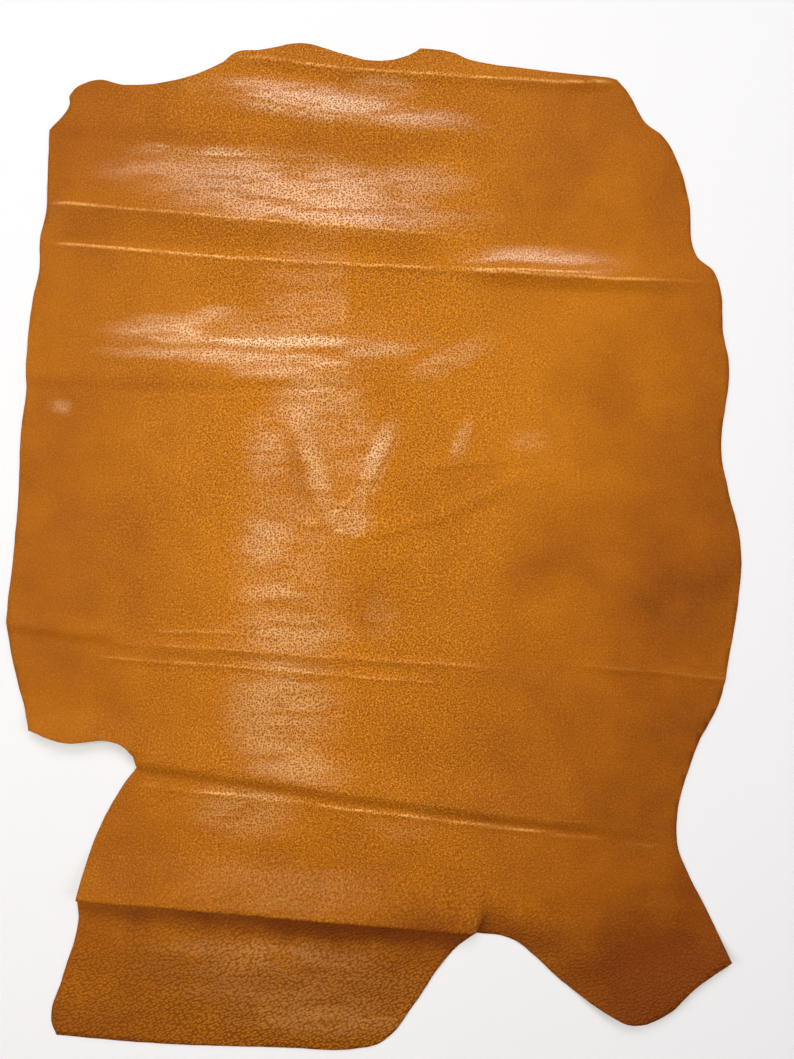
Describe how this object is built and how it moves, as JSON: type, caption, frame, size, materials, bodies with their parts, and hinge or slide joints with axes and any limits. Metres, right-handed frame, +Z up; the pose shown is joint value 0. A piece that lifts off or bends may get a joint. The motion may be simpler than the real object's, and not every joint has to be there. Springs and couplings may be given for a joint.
{
  "type": "leather hide",
  "caption": "Whole tanned hide lying flat, grain side up, with an irregular hand-cut outline, low creases across it and a leaning pleat near the tail.",
  "frame": {"origin": "under the middle of the hide, on the surface that it lies on", "axes": "+Y towards the neck, along the hide's length, +Z up from the surface, +X to the right seen from above"},
  "size_m": [0.8058, 1.1052, 0.0146],
  "materials": {
    "leather": "mustard tan, pebbled grain, semi-gloss"
  },
  "bodies": {
    "root": {"hide": "leather"}
  },
  "joints": []
}
